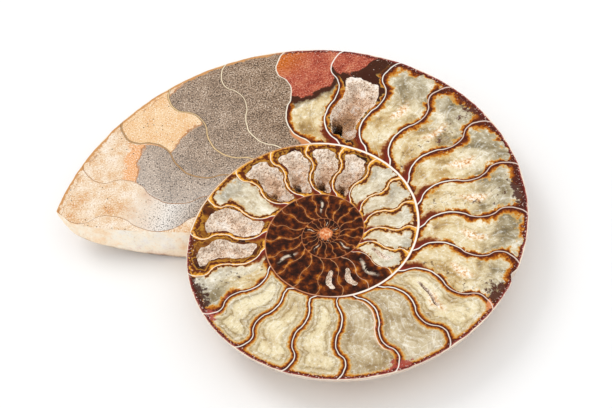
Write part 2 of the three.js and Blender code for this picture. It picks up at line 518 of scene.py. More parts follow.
def coil_tree():
    tree, add, sizes = geometry_tree(
        "coil", Float=["Tip radius", "Half thickness"], Int=["Columns"],
        Material=["Face", "Shell", "Broken end"],
    )
    rows = TOP_ROWS + WALL_ROWS + FLANK_ROWS
    corners = add("ADD", sizes["Columns"], 1)
    grid = add("GeometryNodeMeshGrid", 1, 1, corners, rows + 1)
    place = add(SPLIT, grid.outputs["UV Map"]).outputs
    around, row = place["X"], add("MULTIPLY", place["Y"], rows)

    on_top = add(RANGE, row, 0, TOP_ROWS)
    down_wall = add(RANGE, row, TOP_ROWS, TOP_ROWS + WALL_ROWS)
    under = add(RANGE, row, TOP_ROWS + WALL_ROWS, rows)

    break_share = BREAK_COLUMNS / COLUMNS
    along_break = add(RANGE, around, 0, break_share)
    along_rim = add(RANGE, around, break_share, 1, 0, BREAK_END)
    break_angle = add(CURVE, 1, along_break, points=BREAK_ANGLE_SHARES)
    break_reach = add(CURVE, 1, along_break, points=BREAK_RADIUS_SHARES)
    angle = add("ADD", along_rim, add(RANGE, break_angle, 0, 1, BREAK_ANGLE, 0))
    inside_tip = add(RANGE, break_reach, 0, 1, INNER_CORNER - TIP_RADIUS, 0)
    smooth_rim = add("ADD", venter_field(add, along_rim, sizes["Tip radius"]), inside_tip)

    from_chip = add("ABSOLUTE", add("SUBTRACT", angle, CHIP_ANGLE))
    chip = add(RANGE, from_chip, 0, CHIP_HALF_WIDTH, CHIP_DEPTH, 0)
    spot = add(JOIN, *on_face(add, smooth_rim, angle))
    wave = add(NOISE, spot, 1 / RIM_WAVE_LENGTH, 3)
    worn = add("MULTIPLY_ADD", wave, -RIM_WAVE, chip)
    rim = add("SUBTRACT", smooth_rim, worn)

    inwards = add("POWER", under, RIM_CROWDING)
    share = add("SUBTRACT", on_top, inwards)
    reach = add("MULTIPLY", rim, share)
    smooth_depth = add("MULTIPLY", flank_depth_field(add, reach, angle, sizes), down_wall)
    height = add("MULTIPLY", smooth_depth, -1)
    smooth = add(JOIN, *on_face(add, reach, angle), height)
    groove = groove_field(add, smooth, *flank_place(add, smooth))
    groove = add("MULTIPLY", groove, add(RANGE, under, 0, RIM_WITHOUT_RIBS))
    height = add("MULTIPLY_ADD", groove, RIB_HEIGHT, height)

    lumps = spread(add, add(NOISE, smooth, 1 / BREAK_LUMP_SIZE, 4), BREAK_LUMP_HEIGHT)
    for along_edge in (down_wall, along_break):
        from_edge = add("PINGPONG", along_edge, 0.5)
        lumps = add("MULTIPLY", lumps, add(RANGE, from_edge, 0, BREAK_EDGE))
    shifted = add("DEGREES", add("DIVIDE", lumps, rim))
    rough_angle = add("ADD", angle, shifted)
    position = placed(add, *on_face(add, reach, rough_angle), height)

    shaped = add("GeometryNodeSetPosition", grid, None, position)
    closed = add("GeometryNodeMergeByDistance", shaped, None, MERGE_DISTANCE_M)
    is_wall = add("GREATER_THAN", row, TOP_ROWS)
    is_break = add("MULTIPLY", is_wall, add("LESS_THAN", around, break_share))
    beside_flank = add("LESS_THAN", row, TOP_ROWS + WALL_ROWS)
    broken = add("MULTIPLY", is_break, beside_flank)
    soft = add("GeometryNodeSetShadeSmooth", closed, None, is_wall)
    whole = add("GeometryNodeRealizeInstances", soft)
    faced = add("GeometryNodeSetMaterial", whole, None, sizes["Face"])
    shelled = add("GeometryNodeSetMaterial", faced, is_wall, sizes["Shell"])
    finished = add("GeometryNodeSetMaterial", shelled, broken, sizes["Broken end"])
    add("NodeGroupOutput", finished)
    return tree


# Hollow chambers: rooms that are cut out of the body. Each has its chamber, shares across it, shares out to
# the venter, a depth, and the share by which its outer end is shallower.

ROOMS = [
    (6, (0.11, 0.92), (0.07, 0.78), 5.5, 0.65),
    (6, (0.13, 0.5), (0.1, 0.34), 9, 0.2),
    (20, (0.2, 0.82), (0.1, 0.9), 2.2, 0.2),
    (21, (0.1, 0.92), (0.06, 0.86), 2.4, 0.2),
    (23, (0.12, 0.94), (0.05, 0.93), 4.5, 0.6),
    (23, (0.16, 0.6), (0.12, 0.42), 7, 0.2),
    (24, (0.12, 0.94), (0.05, 0.94), 4.5, 0.6),
    (24, (0.16, 0.6), (0.12, 0.44), 7, 0.2),
    (25, (0.12, 0.92), (0.05, 0.94), 4.5, 0.6),
    (25, (0.18, 0.7), (0.1, 0.4), 7, 0.2),
    (26, (0.12, 0.92), (0.05, 0.93), 4, 0.6),
    (26, (0.16, 0.66), (0.1, 0.36), 6.5, 0.2),
    (33, (0.3, 0.62), (0.3, 0.82), 1.2, 0.2),
    (34, (0.3, 0.62), (0.3, 0.82), 1.2, 0.2),
    (13, (0.46, 0.55), (0.24, 0.6), 5, 0.5),
    (31, (0.34, 0.6), (0.26, 0.78), 0.9, 0.1),
]
ROOM_TAPER = 0.8
ROOM_ROUNDING = 0.25
ROOM_BOWL = 0.35
LUMP_SIZE = 2.4
LUMP_HEIGHT = 1.8
FULL_LUMP_DEPTH = 3
CUT_CLEARANCE = 1
ROOM_CUBE = (2, 2, 2)
ROOM_CORNERS = (16, 28, 10)


def room_tree():
    tree, add, sizes = geometry_tree("hollow room", Material=["Lining"], Float=[
        "First wall", "Second wall", "Across from", "Across to", "Out from", "Out to", "Depth", "Slant",
    ])
    cube = add("GeometryNodeMeshCube", ROOM_CUBE, *ROOM_CORNERS)
    corner = add(SPLIT, add("GeometryNodeInputPosition")).outputs
    square = [add("MULTIPLY", corner[axis], corner[axis]) for axis in "XY"]
    narrow = [add("SQRT", add("MULTIPLY_ADD", s, -ROOM_ROUNDING, 1)) for s in square]
    down = add(RANGE, corner["Z"], 1, -1)
    taper = add(RANGE, add("MULTIPLY", down, down), 0, 1, 1, ROOM_TAPER)
    across = add("MULTIPLY", add("MULTIPLY", corner["X"], narrow[1]), taper)
    out = add("MULTIPLY", add("MULTIPLY", corner["Y"], narrow[0]), taper)

    wall_share = add(RANGE, across, -1, 1, sizes["Across from"], sizes["Across to"], clamp=False)
    out_share = add(RANGE, out, -1, 1, sizes["Out from"], sizes["Out to"], clamp=False)
    between = add(RANGE, wall_share, 0, 1, sizes["First wall"], sizes["Second wall"], clamp=False)
    angle = add("ADD", between, lead_field(add, out_share))
    venter = venter_field(add, angle, TIP_RADIUS)
    inner = venter_field(add, add("ADD", angle, TURN), TIP_RADIUS)
    reach = add(RANGE, out_share, 0, 1, inner, venter, clamp=False)

    rise = add(RANGE, out, -1, 1, 0, sizes["Slant"])
    bowl = add("MAXIMUM", *square)
    shallow = add("MULTIPLY_ADD", bowl, ROOM_BOWL, rise)
    fall = add("MULTIPLY", sizes["Depth"], add("SUBTRACT", 1, shallow))
    height = add(RANGE, down, 0, 1, CUT_CLEARANCE, add("MULTIPLY", fall, -1))
    place = add(JOIN, *on_face(add, reach, angle), height)
    lumps = add(NOISE, place, 1 / LUMP_SIZE, 2)
    lumps = add(VECTOR + "SUBTRACT", lumps.outputs["Color"], NOISE_MIDDLE)
    reach_of_lumps = add(RANGE, sizes["Depth"], 0, FULL_LUMP_DEPTH, 0, LUMP_HEIGHT)
    bumps = add(VECTOR + "SCALE", lumps, reach_of_lumps)
    rough = add(SPLIT, add(VECTOR + "ADD", place, bumps)).outputs
    position = placed(add, rough["X"], rough["Y"], rough["Z"])
    shaped = add("GeometryNodeSetPosition", cube, None, position)
    whole = add("GeometryNodeRealizeInstances", shaped)
    add("NodeGroupOutput", add("GeometryNodeSetMaterial", whole, None, sizes["Lining"]))
    return tree


CRYSTAL_SIZE = (0.16, 0.36)
CRYSTALS_PER_MM2 = 7
SPOT_SEED, TURN_SEED, SIZE_SEED = 3, 5, 8


def crystal_tree():
    tree, add, sizes = geometry_tree(
        "crystals", Float=["Smallest", "Largest", "Per square metre"], Material=["Ground"],
    )
    ground = add("GeometryNodeMaterialSelection", sizes["Ground"])
    density = sizes["Per square metre"]
    spots = add("GeometryNodeDistributePointsOnFaces", sizes["Geometry"], ground, density, SPOT_SEED)
    height = add(SPLIT, add("GeometryNodeInputPosition")).outputs["Z"]
    too_high = add("GREATER_THAN", height, COIL.z - CRYSTAL_SIZE[1] * MM)
    spots = add("GeometryNodeDeleteGeometry", spots, too_high)
    crystal = add("GeometryNodeMeshCube", (MM, MM, MM))
    any_turn = ((0, 0, 0), (math.tau, math.tau, math.tau))
    turn = add("FunctionNodeRandomValue", *any_turn, named={"Seed": TURN_SEED}, data_type="FLOAT_VECTOR")
    size = add("FunctionNodeRandomValue", sizes["Smallest"], sizes["Largest"], named={"Seed": SIZE_SEED})
    grown = add("GeometryNodeInstanceOnPoints", spots, named={
        "Instance": crystal, "Rotation": turn, "Scale": size,
    })
    whole = add("GeometryNodeRealizeInstances", grown)
    add("NodeGroupOutput", add("GeometryNodeSetMaterial", whole, None, sizes["Ground"]))
    return tree


# Materials: the face is painted in layers, from the calcite up. A place in a chamber is the chamber's
# number and share across (phase), the share of the way out, and distances from the walls.

CLOUD_SIZE = 6
CHAMBER_TINT = 0.3
CLEAR_WAVE = 0.15
CLEAR_OUTWARDS = (0.62, 0.95)
CLEAR_SHARES = (0.1, 0.95)
BAND_REACH = 5
BAND_WAVE = 0.9
MILK_IN_BANDS = (0.25, 0.5)
CLEARER_SHARE = 0.6
CLEARER_BROWN = 0.3
INNER_PALENESS = 0.55
CRACK_SPACING = 4.5
CRACK_BEND = 3
CRACK_EDGE = (0.006, 0.03)
CRACK_STRENGTH = 0.5
CRACKED_CLOUDS = (0.46, 0.56)
FIBRES_PER_CHAMBER = (14, 7, 0)
SUGAR_SIZE = 0.9
SUGARY_CHAMBERS = (7, 14)
SUGARY_ACROSS = (0.36, 0.66)
SUGARY_OUTWARDS = (0.36, 0.7)


def calcite_layer(add, coil):
    """Milky calcite: cream near the inner whorl, clear and grey-green with bright cracks near the venter.
    The chambers at the coil's lower side have soft growth bands along their walls."""
    cloud = add(NOISE, coil.place, named={
        "Scale": 1 / CLOUD_SIZE, "Detail": 8, "Roughness": 0.6, "Distortion": 0.5,
    })
    milky = add(RAMP, cloud, stops=[
        (0.3, "#9A7644"), (0.42, "#CAA86E"), (0.52, "#E4CD9C"), (0.61, "#F0E0BA"), (0.72, "#FCF2DA"),
    ])
    clear = add(RAMP, cloud, stops=[
        (0.3, "#64583F"), (0.42, "#988A6C"), (0.52, "#BEB296"), (0.6, "#D2C6AA"), (0.68, "#F4ECDA"),
    ])
    place = add("MULTIPLY_ADD", coil.chance, CHAMBER_TINT, coil.out)
    place = add("ADD", place, spread(add, cloud, -CLEAR_WAVE))
    colour = add(BLEND, add(RANGE, place, *CLEAR_OUTWARDS, *CLEAR_SHARES), milky, clear)

    warped = add("ADD", coil.to_edge, spread(add, cloud, BAND_WAVE))
    bands = add(RAMP, add("DIVIDE", warped, BAND_REACH), stops=[
        (0.08, "#AE9262"), (0.2, "#D4C6A6"), (0.27, "#7E6A48"), (0.34, "#D8CCB0"), (0.44, "#BEAC86"),
        (0.5, "#88724C"), (0.58, "#DCCDA8"), (0.7, "#ECDFB8"), (1, "#F2E6C4"),
    ])
    bands = add(BLEND, add(RANGE, coil.chance, 0, 1, *MILK_IN_BANDS), bands, milky)
    clearer = add("MULTIPLY", inside(add, coil.phase, *CLEARER_CHAMBERS, 0.02), CLEARER_SHARE)
    bands = add(BLEND, clearer, bands, add(BLEND, CLEARER_BROWN, clear, "#92602C"))
    colour = add(BLEND, coil.banded, colour, bands)
    paler = add("MULTIPLY", coil.gold, INNER_PALENESS)
    colour = add(BLEND, paler, colour, add(BLEND, 0.5, clear, "#F2EEE2"))

    bend = add(VECTOR + "SCALE", cloud.outputs["Color"], CRACK_BEND)
    bent = add(VECTOR + "ADD", coil.place, bend)
    crack = add(CELLS + "DISTANCE_TO_EDGE", bent, 1 / CRACK_SPACING)
    crack = add(RANGE, crack, *CRACK_EDGE, CRACK_STRENGTH, 0)
    crack = add("MULTIPLY", crack, add(RANGE, cloud, *CRACKED_CLOUDS))
    colour = add(BLEND, crack, colour, "#FFFAEC")

    grown = add(VECTOR + "MULTIPLY", add(JOIN, coil.phase, coil.out), FIBRES_PER_CHAMBER)
    fibre = add(NOISE, grown, named={"Scale": 1, "Detail": 4, "Distortion": 0.8})
    grit = add(NOISE, coil.place, 1 / SUGAR_SIZE, 4, 0.7)
    colour = tinted(add, colour, fibre, (0.46, 0.3, 0.4, "#8A7044"), (0.58, 0.74, 0.5, "#FFFCF2"))
    colour = tinted(add, colour, grit, (0.45, 0.34, 0.4, "#8E7444"), (0.55, 0.66, 0.55, "#FFFDF4"))
    brown = add(RAMP, cloud, stops=[(0.38, "#321204"), (0.5, "#6A340C"), (0.62, "#B07620")])
    colour = add(BLEND, coil.hollow, colour, add(BLEND, coil.gold, "#401A08", brown))

    sugar = add(RAMP, grit, stops=[
        (0.36, "#B86C34"), (0.45, "#E6B47C"), (0.52, "#FFEBCC"), (0.62, "#FFFDF6"),
    ])
    middle = inside(add, coil.across, *SUGARY_ACROSS, 0.14)
    middle = add("MULTIPLY", middle, inside(add, coil.out, *SUGARY_OUTWARDS, 0.12))
    middle = add("MULTIPLY", middle, inside(add, coil.phase, *SUGARY_CHAMBERS, 0.1))
    return tinted(add, colour, add("ADD", middle, cloud), (1.02, 1.45, 0.9, sugar))


RIM_PATCH_SIZE = 3.4
RAGGED_SIZE = 0.8
RAGGED_SHARE = 0.2
RIM_AFTER_WALL = (0.8, 3)
RIM_BEFORE_WALL = (1.7, 0.3)
RIM_AT_ENDS = [(0, 1.5), (0.15, 1), (0.8, 1), (1, 1.7)]
BANDED_RIM = 1.4
USUAL_FINENESS = 7.5
CORNER_RAGGEDNESS = 0.15


def amber_layer(add, coil, below):
    """Amber and brown calcite along the chamber walls, ragged, and widest behind each wall's foot."""
    patch = add(NOISE, coil.place, 1 / RIM_PATCH_SIZE, 3, 0.6)
    ragged = spread(add, add(NOISE, coil.place, 1 / RAGGED_SIZE, 3), RAGGED_SHARE)
    after = add(RANGE, patch, 0.36, 0.66, *RIM_AFTER_WALL)
    before = add(RANGE, patch, 0.4, 0.6, *RIM_BEFORE_WALL)
    width = add(MIX, add("LESS_THAN", coil.across, 0.5), before, after)
    width = add("MULTIPLY", width, add(CURVE, 1, coil.out, corners=RIM_AT_ENDS))
    width = add(MIX, coil.banded, width, BANDED_RIM)
    width = add("MULTIPLY", width, add("DIVIDE", coil.fineness, USUAL_FINENESS))
    share = add("ADD", add("DIVIDE", coil.to_edge, width), ragged)
    brown = add(RAMP, share, stops=[
        (0, "#6A2A08"), (0.2, "#43160A"), (0.42, "#702C06"), (0.64, "#B0600C"), (0.85, "#D08E2E"),
        (1, "#DDB468"),
    ])
    gold = add(RAMP, share, stops=[
        (0, "#F4BC58"), (0.25, "#D48E22"), (0.42, "#6A2C08"), (0.7, "#521E08"), (0.88, "#B47420"),
        (1, "#D09A34"),
    ])
    rimmed = tinted(add, below, share, (1.3, 0.8, 1, add(BLEND, coil.gold, brown, gold)))

    near = add("MULTIPLY_ADD", ragged, CORNER_RAGGEDNESS, coil.from_corner)
    corner = add(RAMP, near, stops=[
        (0.1, "#7E2616"), (0.18, "#64220A"), (0.24, "#92480E"), (0.28, "#CE9038"),
    ])
    plain = add("SUBTRACT", 1, coil.banded)
    mask = add("MULTIPLY", plain, add(RANGE, near, 0.22, 0.3, 1, 0))
    return add(BLEND, mask, rimmed, corner)


DARK_PATCH_SIZE = 1.9
STREAK_CHANCE = 0.6
STREAK_ACROSS = (0.42, 0.58)
STREAK_OUTWARDS = (0.3, 0.75)


def dark_layer(add, coil, below):
    """The inner whorls are filled with dark brown calcite, with a pale streak in some chambers."""
    patch = add(NOISE, coil.place, named={
        "Scale": 1 / DARK_PATCH_SIZE, "Detail": 6, "Roughness": 0.6, "Distortion": 0.2,
    })
    amber_edge = add(RANGE, add("PINGPONG", coil.phase, 0.5), 0.03, 0.22, 0.11, -0.03)
    colour = add(RAMP, add("ADD", patch, amber_edge), stops=[
        (0.34, "#1E0801"), (0.48, "#421803"), (0.6, "#7C380A"), (0.72, "#C07218"), (0.84, "#ECC484"),
    ])
    streak = inside(add, coil.across, *STREAK_ACROSS, 0.06)
    streak = add("MULTIPLY", streak, inside(add, coil.out, *STREAK_OUTWARDS, 0.1))
    streak = add("MULTIPLY", streak, add(RANGE, coil.chance, STREAK_CHANCE, STREAK_CHANCE + 0.02, 0, 0.9))
    streak = add("MULTIPLY", streak, add(RANGE, patch, 0.42, 0.5))
    colour = add(BLEND, streak, colour, "#E6D6BE")
    return tinted(add, below, coil.phase, (*about(CALCITE_END, CHAMBER_EDGE), 1, colour))


GRAIN_SIZE = 0.36
DOT_SPACING = 0.55
DOT_EDGE = (0.22, 0.4)
DOT_STRENGTH = 0.9
DOT_CHANCES = (0.72, 0.97)
SAND_PATCH_SIZE = 5
SAND_MOTTLING = 0.3
CORNER_CHAMBER = (4, 5)
TAN_CHAMBER = (2, 3)
STAINED_CHAMBER = (1, 2)
SHELL_SEAM = 1.7
SHELL_SEAM_WAVE = 0.8
SHELL_SEAM_HALF = 0.06

# Along the sandstone, from the tip (0) to its end (1): how pale it is, and where its weathered part starts
SAND_PALENESS = [(0, 0.75), (0.19, 0.7), (0.21, 0.3), (0.5, 0.1), (1, 0)]
WEATHERED_EDGE = [
    (0, 0.3), (0.195, 0.3), (0.2, 0.56), (0.39, 0.7), (0.4, 0.49),
    (0.595, 0.56), (0.6, 0.93), (0.66, 0.97), (0.69, 1.1), (1, 1.1),
]
WEATHERED_EDGE_WAVE = 0.03


def sandstone_layer(add, coil, below):
    """The youngest chambers are full of sand: grey within, tan and cream where it has weathered.
    Also gives the mask of the sand."""
    along = add("DIVIDE", coil.phase, SANDSTONE_END)
    first = add(RANGE, coil.phase, *about(1, CHAMBER_EDGE), 1, 0)
    grain = add(NOISE, coil.place, 1 / GRAIN_SIZE, 2, 0.7)
    patch = add(NOISE, coil.place, 1 / SAND_PATCH_SIZE, 6, 0.7)
    cells = add(CELLS + "F1", coil.place, 1 / DOT_SPACING)
    chance = add(SPLIT, cells.outputs["Color"]).outputs["X"]
    near_dot = add(RANGE, cells.outputs["Distance"], *DOT_EDGE, DOT_STRENGTH, 0)
    dots, few_dots = [add("MULTIPLY", near_dot, add("GREATER_THAN", chance, c)) for c in DOT_CHANCES]

    mottled = add("MULTIPLY_ADD", add("SUBTRACT", patch, 0.5), SAND_MOTTLING, grain)
    grey = add(RAMP, mottled, stops=[
        (0.34, "#1E1208"), (0.43, "#6A5440"), (0.5, "#947860"), (0.57, "#B0947A"), (0.68, "#E6D6C4"),
    ])
    paler = add(CURVE, 1, along, corners=SAND_PALENESS)
    paler = add(MIX, first, paler, add(RANGE, coil.out, 0.02, 0.22, 0.2, 0.85))
    grey = add(BLEND, paler, grey, "#F8F2EA")
    grey = add(BLEND, dots, grey, "#2E2014")
    pepper = add("MULTIPLY", first, add(RANGE, grain, 0.47, 0.38, 0, 0.8))
    grey = add(BLEND, pepper, grey, "#4E4034")
    corner = add(RANGE, coil.from_corner, 0.16, 0.2, 1, 0)
    corner = add("MULTIPLY", corner, inside(add, coil.phase, *CORNER_CHAMBER))
    grey = add(BLEND, corner, grey, "#CF8A58")

    cream = add(RAMP, patch, stops=[
        (0.34, "#F4E6D4"), (0.48, "#EACFAE"), (0.58, "#E0B688"), (0.68, "#D49456"),
    ])
    tan = add(RAMP, patch, stops=[(0.35, "#F2D4AA"), (0.55, "#EABE8A"), (0.7, "#DC9C58")])
    weathered = add(BLEND, inside(add, coil.phase, *TAN_CHAMBER), cream, tan)
    edge = add(CURVE, 1, along, corners=WEATHERED_EDGE)
    edge = add("ADD", edge, spread(add, patch, WEATHERED_EDGE_WAVE))
    above = add("SUBTRACT", coil.out, edge)
    low = add(RANGE, above, 0.08, 0.11, 1, 0)
    stain = add("MULTIPLY", inside(add, coil.phase, *STAINED_CHAMBER), low)
    weathered = add(BLEND, stain, weathered, "#ECB07A")
    weathered = tinted(add, weathered, grain, (0.56, 0.67, 0.7, "#B0703A"), (0.46, 0.36, 0.7, "#FFF8EC"))
    weathered = add(BLEND, few_dots, weathered, "#3A281A")
    hem = add("MULTIPLY", inside(add, above, -0.004, 0.008, 0.006), add("SUBTRACT", 1, first))
    weathered = add(BLEND, hem, weathered, "#B06A30")

    sharp = add(RANGE, above, -0.012, 0.004)
    is_weathered = add(MIX, first, sharp, add(RANGE, above, -0.1, 0.25))
    at_tip = add(RANGE, coil.phase, *about(0, CHAMBER_EDGE), 1, 0)
    stone = add(BLEND, add("MAXIMUM", is_weathered, at_tip), grey, weathered)
    from_shell = add("ADD", coil.to_outer, spread(add, patch, SHELL_SEAM_WAVE))
    seam = inside(add, from_shell, *about(SHELL_SEAM, SHELL_SEAM_HALF), SHELL_SEAM_HALF)
    seam = add("MULTIPLY", seam, add(RANGE, patch, 0.42, 0.5, 0, 0.7))
    stone = add(BLEND, seam, stone, "#8A4E26")
    mask = add(RANGE, coil.phase, *about(SANDSTONE_END, CHAMBER_EDGE), 1, 0)
    return add(BLEND, mask, below, stone), mask


CLAY_CHAMBERS = (5, 7)
CLAY_PATCH_SIZE = 4
CLAY_SPECK_SIZE = 0.4

# Where the clay starts, across its two chambers
CLAY_EDGE = [
    (0, 0.54), (0.12, 0.49), (0.25, 0.53), (0.36, 0.6), (0.42, 0.63), (0.5, 0.74),
    (0.505, 0.82), (0.58, 0.755), (0.68, 0.755), (0.75, 0.8), (0.8, 0.88), (0.83, 1.1), (1, 1.2),
]
CLAY_EDGE_WAVE = 0.04


def clay_layer(add, coil, below):
    """Red clay that settled at the venter of the two chambers next to the sand, with a dark brown hem."""
    patch = add(NOISE, coil.place, 1 / CLAY_PATCH_SIZE, 6, 0.68)
    speck = add(NOISE, coil.place, 1 / CLAY_SPECK_SIZE, 2)
    clay = add(RAMP, patch, stops=[
        (0.34, "#8E3422"), (0.46, "#B0503A"), (0.58, "#C0664A"), (0.7, "#D69068"),
    ])
    orange = add(RANGE, coil.phase, 5.1, 5.6, 0.8, 0)
    orange = add("MULTIPLY", orange, add(RANGE, coil.out, 0.72, 0.86))
    clay = add(BLEND, orange, clay, "#D07010")
    clay = tinted(add, clay, speck, (0.55, 0.66, 0.7, "#E4A488"), (0.45, 0.34, 0.75, "#6E2216"))
    edge = add(CURVE, 1, add(RANGE, coil.phase, *CLAY_CHAMBERS), corners=CLAY_EDGE)
    above = add("SUBTRACT", coil.out, add("ADD", edge, spread(add, patch, CLAY_EDGE_WAVE)))
    chambers = inside(add, coil.phase, *CLAY_CHAMBERS, CHAMBER_EDGE / 2)
    hem = add("MULTIPLY", add(RANGE, above, -0.12, -0.05), chambers)
    beyond = inside(add, coil.phase, 6.4, 7, 0.1)
    beyond = add("MULTIPLY", beyond, add(RANGE, coil.out, 0.8, 0.84))
    brown = add(BLEND, speck, "#1E0C06", "#5A2C14")
    colour = add(BLEND, add("MAXIMUM", hem, beyond), below, brown)
    mask = add("MULTIPLY", add(RANGE, above, -0.008, 0.008), chambers)
    return add(BLEND, mask, colour, clay)


# Stains at the venter: their middle and half their width in chambers, and their share of the whorl inwards
STAINS = [
    (12.8, 0.4, 0.2, "#4E2012"),
    (13.05, 0.16, 0.12, "#D98A58"),
    (15, 0.36, 0.16, "#A4463A"),
    (19, 0.26, 0.17, "#A85048"),
    (19.5, 0.6, 0.2, "#3E1C10"),
    (8.7, 0.5, 0.13, "#541E16"),
    (10.6, 0.6, 0.16, "#4A1C14"),
]
STAIN_PATCH_SIZE = 1.6
STAIN_RAGGEDNESS = (-0.7, 0.5)


def stain_layer(add, coil, below):
    """Red clay and brown stains where some chamber walls reach the venter."""
    patch = add(NOISE, coil.place, 1 / STAIN_PATCH_SIZE, 5, 0.7)
    ragged = add(RANGE, patch, *NOISE_SPAN, *STAIN_RAGGEDNESS)
    colour = below
    for middle, half, inwards, stain in STAINS:
        across = add(RANGE, coil.phase, *about(middle, half), -1, 1, clamp=False)
        out = add(RANGE, coil.out, 1 - inwards, 1)
        near = add("MULTIPLY_ADD", add("MULTIPLY", across, across), -1, out)
        colour = tinted(add, colour, add("ADD", near, ragged), (0.05, 0.3, 0.95, stain))
    return colour


# White lines: half widths in millimetres at a distance of 1 mm from the coil's middle, growing as its root
SEPTUM_HALF_WIDTH = 0.019
WALL_HALF_WIDTH = 0.05
LINE_EDGE = 0.012
LINE_HEM = 0.02
PINK_WALLS = (7.5, 14)

# Shares of those widths: along the coil and outwards for chamber walls, along two turns for the spiral wall
SEPTUM_WIDTHS = [
    (0, 0.6), (0.03, 0.65), (0.06, 0.9), (0.1, 0.95), (0.12, 1), (0.38, 1), (0.4, 0.85), (0.62, 0.85),
    (0.68, 0.65), (1, 0.6),
]
SEPTUM_FOOT = [(0, 1.5), (0.25, 1.3), (0.5, 0.9), (0.65, 0.8), (0.85, 0.9), (1, 0.8)]
WALL_WIDTHS = [
    (0, 0.6), (0.04, 0.45), (0.08, 0.3), (0.1, 0.7), (0.13, 1), (0.33, 1), (0.36, 0.45), (1, 0.4),
]

# One chamber wall has a second thin line beside it: its distance, chamber and share of the whorl
SECOND_LINE = (0.85, 1.1)
SECOND_LINE_EDGE = 0.08
SECOND_LINE_CHAMBER = (15, 15.5)
SECOND_LINE_OUTWARDS = (0.08, 0.75)


def septum_layer(add, coil, below):
    """White shell of the chamber walls: thick at the foot, fine in the sand and at the coil's middle."""
    along = add("DIVIDE", coil.phase, LAST_CHAMBER)
    width = add(CURVE, 1, along, corners=SEPTUM_WIDTHS)
    width = add("MULTIPLY", width, add(CURVE, 1, coil.out, points=SEPTUM_FOOT))
    width = add("MULTIPLY", width, SEPTUM_HALF_WIDTH)
    past = add("SUBTRACT", add("DIVIDE", coil.to_septum, coil.fineness), width)
    colour = add(RAMP, along, stops=[
        (0, "#8E5628"), (0.03, "#A8743E"), (0.06, "#EACC98"), (0.08, "#F8EACC"), (0.12, "#FFFBF0"),
        (0.62, "#FFF3E2"), (0.68, "#CC9C6C"),
    ])
    pink = inside(add, coil.phase, *PINK_WALLS, 0.3)
    pink = add("MULTIPLY", pink, add(RANGE, coil.out, 0.3, 0.6, 0, 0.7))
    colour = add(BLEND, pink, colour, "#E4C4B4")
    in_sand = inside(add, coil.phase, 1.5, SANDSTONE_END - 0.5, 0.2)
    beside = add(RANGE, past, *about(LINE_HEM, LINE_EDGE), 0.8, 0)
    hemmed = add(BLEND, add("MULTIPLY", in_sand, beside), below, "#6E4A26")
    second = inside(add, coil.to_septum, *SECOND_LINE, SECOND_LINE_EDGE)
    second = add("MULTIPLY", second, inside(add, coil.phase, *SECOND_LINE_CHAMBER))
    second = add("MULTIPLY", second, inside(add, coil.out, *SECOND_LINE_OUTWARDS, 0.05))
    hemmed = add(BLEND, second, hemmed, "#F6DCC8")
    return tinted(add, hemmed, past, (LINE_EDGE, -LINE_EDGE, 1, colour))


def wall_layer(add, coil, below):
    """The spiral wall between whorls: thick and white on one side of the coil, fine and brown elsewhere."""
    outer_wall = add("MULTIPLY_ADD", coil.outermost, TIP_RADIUS, coil.to_outer)
    is_outer = add("LESS_THAN", outer_wall, coil.to_inner)
    wall_angle = add("MULTIPLY_ADD", is_outer, -TURN, coil.angle)
    around = add("DIVIDE", wall_angle, 2 * TURN)
    width = add("MULTIPLY", add(CURVE, 1, around, corners=WALL_WIDTHS), WALL_HALF_WIDTH)
    nearest = add("MINIMUM", outer_wall, coil.to_inner)
    past = add("SUBTRACT", add("DIVIDE", nearest, coil.fineness), width)
    colour = add(RAMP, around, stops=[
        (0, "#F4E4CC"), (0.05, "#E8CBA2"), (0.08, "#C08C5C"), (0.11, "#FFF7EA"), (0.33, "#FFF7EA"),
        (0.38, "#C9906C"), (1, "#A86A48"),
    ])
    hem = (*about(LINE_HEM, -LINE_EDGE), 0.7, "#A85A2C")
    return tinted(add, below, past, hem, (LINE_EDGE, -LINE_EDGE, 1, colour))


RIM_SPECK_SIZE = 1.5
RIM_WIDTHS = (0.25, 1.3)
TAN_RIM_END = 69
TAN_RIM_FADE = 3
SPECKED_REACH = 3


def rim_layer(add, coil, below):
    """The worn shell at the outermost edge: tan beside the sand, maroon with a pink fringe beyond."""
    patch = add(NOISE, coil.place, 1 / RIM_SPECK_SIZE, 5, 0.7)
    share = add("DIVIDE", coil.to_outer, add(RANGE, patch, 0.35, 0.7, *RIM_WIDTHS))
    shell = add(RAMP, share, stops=[
        (0, "#C08478"), (0.3, "#86342A"), (0.6, "#5E1A10"), (1, "#4E1A0C"),
    ])
    beyond = add(RANGE, coil.angle, *about(TAN_RIM_END, TAN_RIM_FADE))
    mask = add("MULTIPLY", coil.outermost, add(RANGE, share, 0.8, 1.1, 1, 0))
    rimmed = add(BLEND, mask, below, add(BLEND, beyond, "#CB935C", shell))
    fine = add(NOISE, coil.place, 3 / RIM_SPECK_SIZE, 3)
    near = add(RANGE, coil.to_outer, 0, SPECKED_REACH, 0.07, -0.06)
    specks = add(RANGE, add("ADD", fine, near), 0.63, 0.7, 0, 0.7)
    specks = add("MULTIPLY", specks, add("MULTIPLY", coil.outermost, beyond))
    return add(BLEND, specks, rimmed, "#F0D4C6")


CENTRE_REACH = 1.7
CENTRE_WAVE = 0.6
CENTRE_EDGE = 0.2
CENTRE_PATCH_SIZE = 0.7


def centre_layer(add, coil, below):
    """The first chamber, a small orange spot."""
    patch = add(NOISE, coil.place, 1 / CENTRE_PATCH_SIZE, 3)
    spot = add(RAMP, patch, stops=[(0.36, "#C2622E"), (0.5, "#DE8A54"), (0.64, "#F4CCA4")])
    reach = add("ADD", coil.reach, spread(add, patch, CENTRE_WAVE))
    return tinted(add, below, reach, (*about(CENTRE_REACH, -CENTRE_EDGE), 1, spot))


FACE_ROUGHNESS = (0.25, 0.5)


